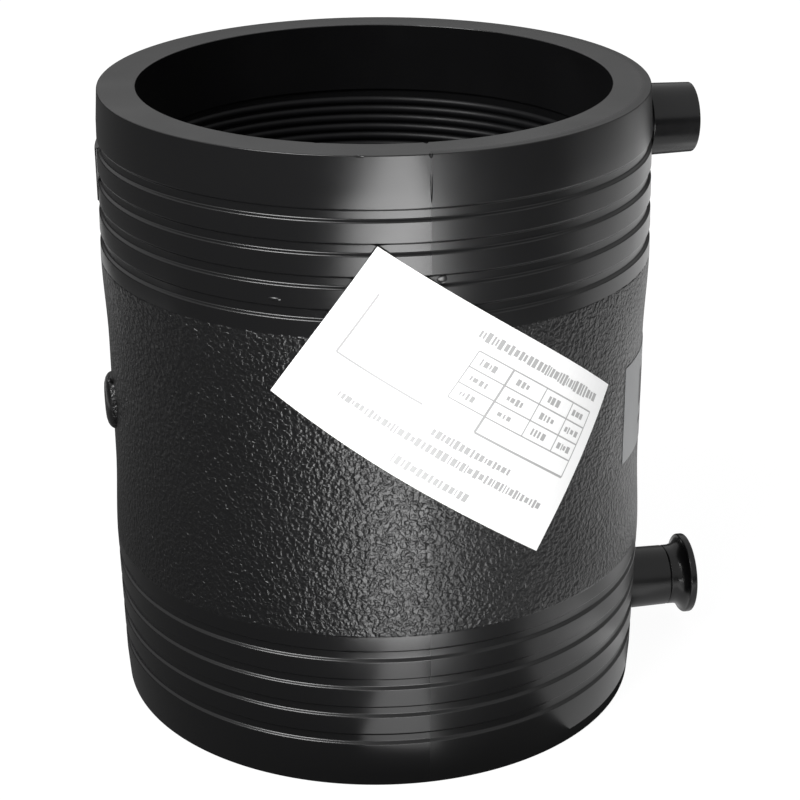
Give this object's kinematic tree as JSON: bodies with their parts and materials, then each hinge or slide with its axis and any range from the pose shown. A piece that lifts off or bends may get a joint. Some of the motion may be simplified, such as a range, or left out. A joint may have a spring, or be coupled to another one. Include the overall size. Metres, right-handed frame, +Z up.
{
  "type": "electrofusion coupler",
  "caption": "Black plastic pipe coupler with grooved ends, a buried heating wire, capped terminals on one side and two stick-on labels.",
  "frame": {"origin": "on the bore's axis, in the plane of the lower mouth", "axes": "+Z up the bore towards the upper mouth, +X from the axis towards both terminals"},
  "size_m": [0.15, 0.1313, 0.152],
  "materials": {
    "pipe_black": "satin moulded polyethylene, with a fine leather grain between the grooved ends",
    "wire_jacket": "smooth black jacket over resistance wire",
    "pin_brass": "turned",
    "cap_black": "satin moulded",
    "indicator_black": "satin moulded",
    "label_white": "white sticker with pale grey rules and bars",
    "label_pale": "pale grey sticker with plain bars"
  },
  "bodies": {
    "root": {"coupler_body": "pipe_black", "heating_wire": "wire_jacket", "terminal_pin_lower": "pin_brass", "terminal_pin_upper": "pin_brass", "terminal_cap_upper": "cap_black", "terminal_plug_lower": "cap_black", "melt_indicator_lower": "indicator_black", "melt_indicator_upper": "indicator_black", "instruction_label": "label_white", "traceability_label": "label_pale"}
  },
  "joints": []
}
